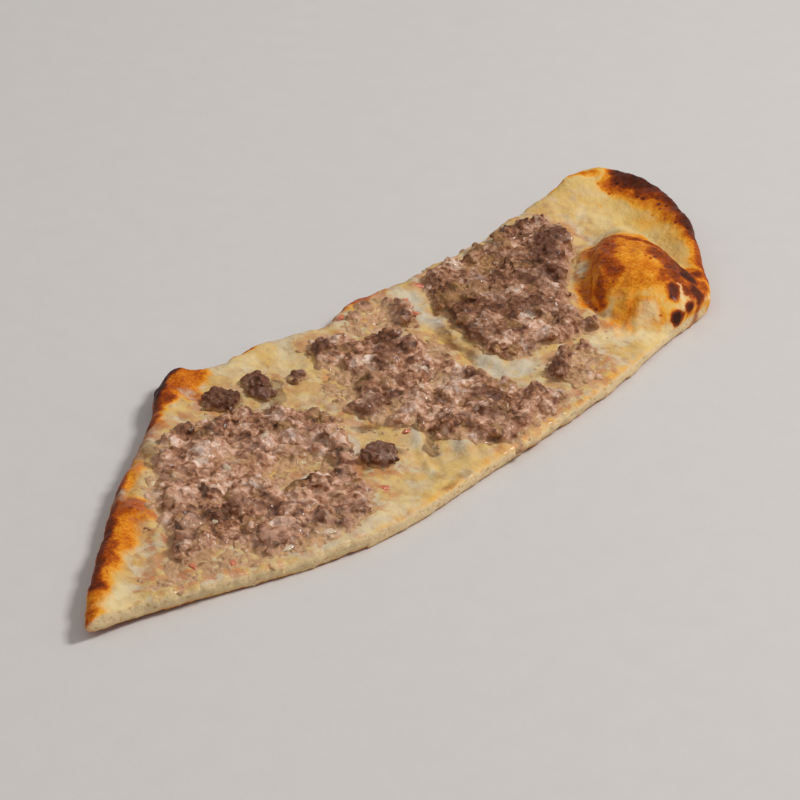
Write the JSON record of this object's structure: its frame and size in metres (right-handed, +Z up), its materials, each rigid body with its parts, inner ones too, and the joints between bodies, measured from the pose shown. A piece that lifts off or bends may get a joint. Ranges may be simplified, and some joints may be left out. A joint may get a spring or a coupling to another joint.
{
  "type": "ground meat pide slice",
  "caption": "Flat end slice of baked pide: thin dough with a raised crust round three sides, one long cut side, a blister at the round end and minced meat baked on top in patches.",
  "frame": {"origin": "on the table, under the middle of the slice's bounding box", "axes": "+Z up out of the topping; +X along the long cut side, from the sharp tip to the round end; +Y from the cut side to the back crust"},
  "size_m": [0.204, 0.0672, 0.0107],
  "materials": {
    "baked_dough": "baked bread crust, satin with grease, browned to charred at the rim",
    "minced_meat": "fine crumbly cooked minced meat, glossy with fat",
    "browned_meat": "dark browned crumble of minced meat, glossy with fat"
  },
  "bodies": {
    "root": {"dough": "baked_dough", "meat_left": "minced_meat", "meat_middle": "minced_meat", "meat_back": "minced_meat", "meat_right": "minced_meat", "meat_front": "minced_meat", "meat_crumble_corner": "browned_meat", "meat_crumble_back": "browned_meat", "meat_crumble_small": "browned_meat", "meat_crumble_front": "browned_meat"}
  },
  "joints": []
}
